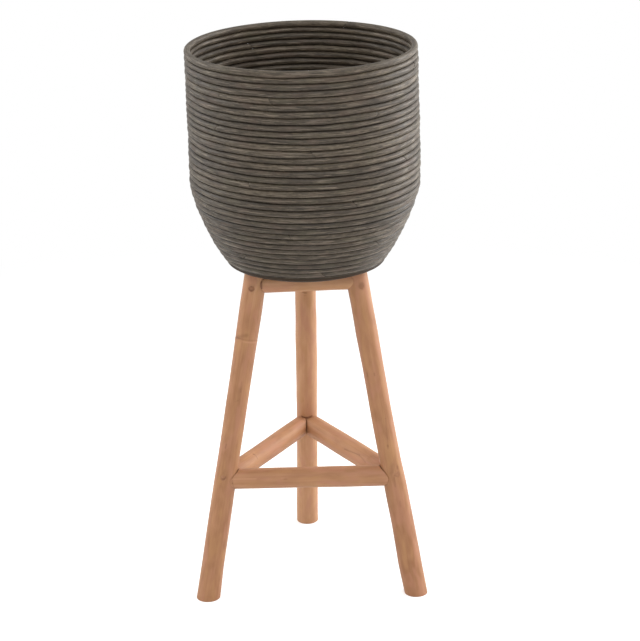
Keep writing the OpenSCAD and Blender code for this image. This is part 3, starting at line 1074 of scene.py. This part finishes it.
def make_plugs(kind, screws, material):
    """Plugs over the screw heads, cut flush with the leg and a touch rounded at the edge."""
    solids, marks = [], []
    for leg, _, at, into in screws:
        base, way = np.array(at), np.array(into)
        side = np.cross(way, [0, 0, 1])
        side /= np.linalg.norm(side)
        ring = HEAD_D / 2 * circle(PLUG_AROUND, side, np.cross(side, way))[1]
        leg_r = leg_surface_r(leg, (at - leg_at(leg, 0)).dot(leg_way(leg)), -into)
        inner_face = base - way * HOLE_GAP
        rows = [inner_face + ring]
        for share, drop in PLUG_ROWS:
            p = base + share * ring
            rows.append(p + meet_leg(leg, p, way, leg_r - drop, 1)[:, None] * way)
        points = np.concatenate(rows + [inner_face[None], rows[-1].mean(0)[None]])
        solids.append((points, closed_faces(len(rows), PLUG_AROUND, True)))
        marks.append(plug_stain(leg, at, into, PLUG_T + leg_r - LEG_R)(points))
    obj = joined(f"{kind}_screw_plugs", solids)
    set_attribute(obj, "mark", np.concatenate(marks))
    finish_piece(obj, material, [f"{kind}_plugs"], 30)


def screw_solid(length, around=24):
    """A countersunk screw along +Z from the top of its head, with a cross recess and a thread."""
    turn, ring = circle(around)
    head, shank = HEAD_D / 2, SCREW_D / 2
    cross = np.abs(np.cos(2 * turn)) ** 8
    rows = [np.column_stack([ring * head * share, cross * depth]) for share, depth in RECESS]
    rows.append(np.column_stack([ring * shank, np.full(around, HEAD_H)]))
    for z in np.arange(HEAD_H + THREAD_START, length, THREAD_PITCH / THREAD_STEPS):
        taper = min(1.0, max(0.12, (length - z) / SCREW_POINT))
        phase = (z / THREAD_PITCH - turn / TAU) % 1
        root = THREAD_ROOT * shank
        r = (root + (shank - root) * bell(phase - 0.5, THREAD_WIDTH)) * taper
        rows.append(np.column_stack([ring * r[:, None], np.full(around, z)]))
    points = np.concatenate(rows + [[[0, 0, RECESS_DEPTH], [0, 0, length]]])
    return points, closed_faces(len(rows), around)


def make_screws(kind, screws, length, material):
    points, faces = screw_solid(length)
    solids = [(placed(points, at, way), faces) for _, _, at, way in screws]
    finish_piece(joined(f"{kind}_wood_screws", solids), material, [f"{kind}_screws"], 40)


def make_board(material):
    """The base board: a plywood disc pressed into the lowest cane, with three countersunk holes."""
    radius = (BOARD_HIGH.x - BOARD_LOW.x) / 2 + BOARD_PRESS
    low, high = BOARD_LOW.z, BOARD_HIGH.z
    bevel, ease = BOARD_BEVEL, BOARD_EASE
    shares = (0.2, 0.4, 0.6, 0.8)
    profile = [(0, low)] + [(radius * share, low) for share in shares]
    profile += [(radius - bevel, low), (radius, low + bevel), (radius, (low + bevel + high) / 2)]
    profile += [(radius, high - ease), (radius - 0.25 * ease, high - 0.25 * ease), (radius - ease, high)]
    profile += [(radius * share, high) for share in shares[::-1]] + [(0, high)]
    points, faces = lathe(profile, 128)
    obj = mesh_object("base_board_ply", points + np.array(AXIS) + np.array([BASKET_SHIFT, 0, 0]), faces)
    drill(obj, [screw_hole(BASE_SCREW_L, BOARD_HOLE_RISE, at, way) for _, _, at, way in BASE_SCREWS])
    finish_piece(obj, material, ["base_board"], 30)


# Stage and light

# The floor's half width, and from where to where away from the object it turns plain white to the camera
FLOOR_HALF = 9.0
FLOOR_NEAR, FLOOR_FAR = 0.6, 1.6
FLOOR_LIFT = 0.4
ROOM_LIGHT = 0.58

# Soft boxes: name, place, size, watts
SOFTBOXES = (
    ("soft_right", (2.2, 0.7, 1.2), (1.8, 2.4), 78),
    ("soft_left", (-2.2, 0.6, 1.5), (1.8, 2.4), 38),
    ("soft_front", (0.3, -2.2, 2.2), (1.5, 1.1), 22),
    ("soft_top", (0, -0.5, 3.0), (2.0, 2.0), 12),
)
SOFTBOX_AIM = (0, 0, 0.6)


def make_floor():
    """A pale floor that keeps the object's soft shadow. Far from it the camera sees plain white."""
    corners = [(FLOOR_HALF * x, FLOOR_HALF * y, 0) for x, y in ((-1, -1), (1, -1), (1, 1), (-1, 1))]
    obj = mesh_object("floor", corners, [(0, 1, 2, 3)])
    g = Graph("pale_floor")
    away = g.add("ShaderNodeVectorMath", operation="LENGTH", Vector=g.place()).outputs["Value"]
    seen = g.seen()
    far = g.span(away, FLOOR_NEAR, FLOOR_FAR)
    pale = g.mix(g.math("MULTIPLY", seen, far), (231, 231, 231), (0, 0, 0))
    level = g.span(away, FLOOR_NEAR, FLOOR_FAR, FLOOR_LIFT, 1.0)
    g.set(Base_Color=pale, Roughness=0.9, Specular_IOR_Level=0.0)
    g.set(Emission_Color=(1, 1, 1, 1), Emission_Strength=g.math("MULTIPLY", seen, level))
    obj.data.materials.append(g.owner)


def make_world(level):
    """A white surround for the camera and reflections, and an even light of the given level."""
    g = Graph("studio", world=True)
    g.set(Color=(1, 1, 1, 1), Strength=g.span(g.seen(), 0, 1, level, 1.0))
    bpy.context.scene.world = g.owner


def softbox(name, at, size, watts):
    light = bpy.data.lights.new(name, "AREA")
    light.shape, light.size, light.size_y = "RECTANGLE", *size
    light.energy = watts
    obj = bpy.data.objects.new(name, light)
    obj.location = at
    obj.rotation_euler = (Vector(SOFTBOX_AIM) - Vector(at)).to_track_quat("-Z", "Y").to_euler()
    bpy.context.scene.collection.objects.link(obj)


leg_wood = pole_material("leg_pole_wood")
rail_wood = pole_material("rail_pole_wood")
plug_wood = plug_material()
steel = steel_material()

make_basket(cane_material())
for k in range(3):
    make_leg(k, leg_wood)
    make_cross_pole(k, RAIL_Z, RAILS[k], RAIL_SCREWS, rail_wood, RAIL_SEED + k)
    make_cross_pole(k, STRETCHER_Z, STRETCHERS[k], STRETCHER_SCREWS, rail_wood, STRETCHER_SEED + k)
make_plugs("rail", RAIL_SCREWS, plug_wood)
make_plugs("stretcher", STRETCHER_SCREWS, plug_wood)
make_screws("rail", RAIL_SCREWS, POLE_SCREW_L, steel)
make_screws("stretcher", STRETCHER_SCREWS, POLE_SCREW_L, steel)
make_screws("base", BASE_SCREWS, BASE_SCREW_L, steel)
make_board(board_material())

make_floor()
make_world(ROOM_LIGHT)
for box in SOFTBOXES:
    softbox(*box)

view = bpy.context.scene.view_settings
view.view_transform = "Standard"
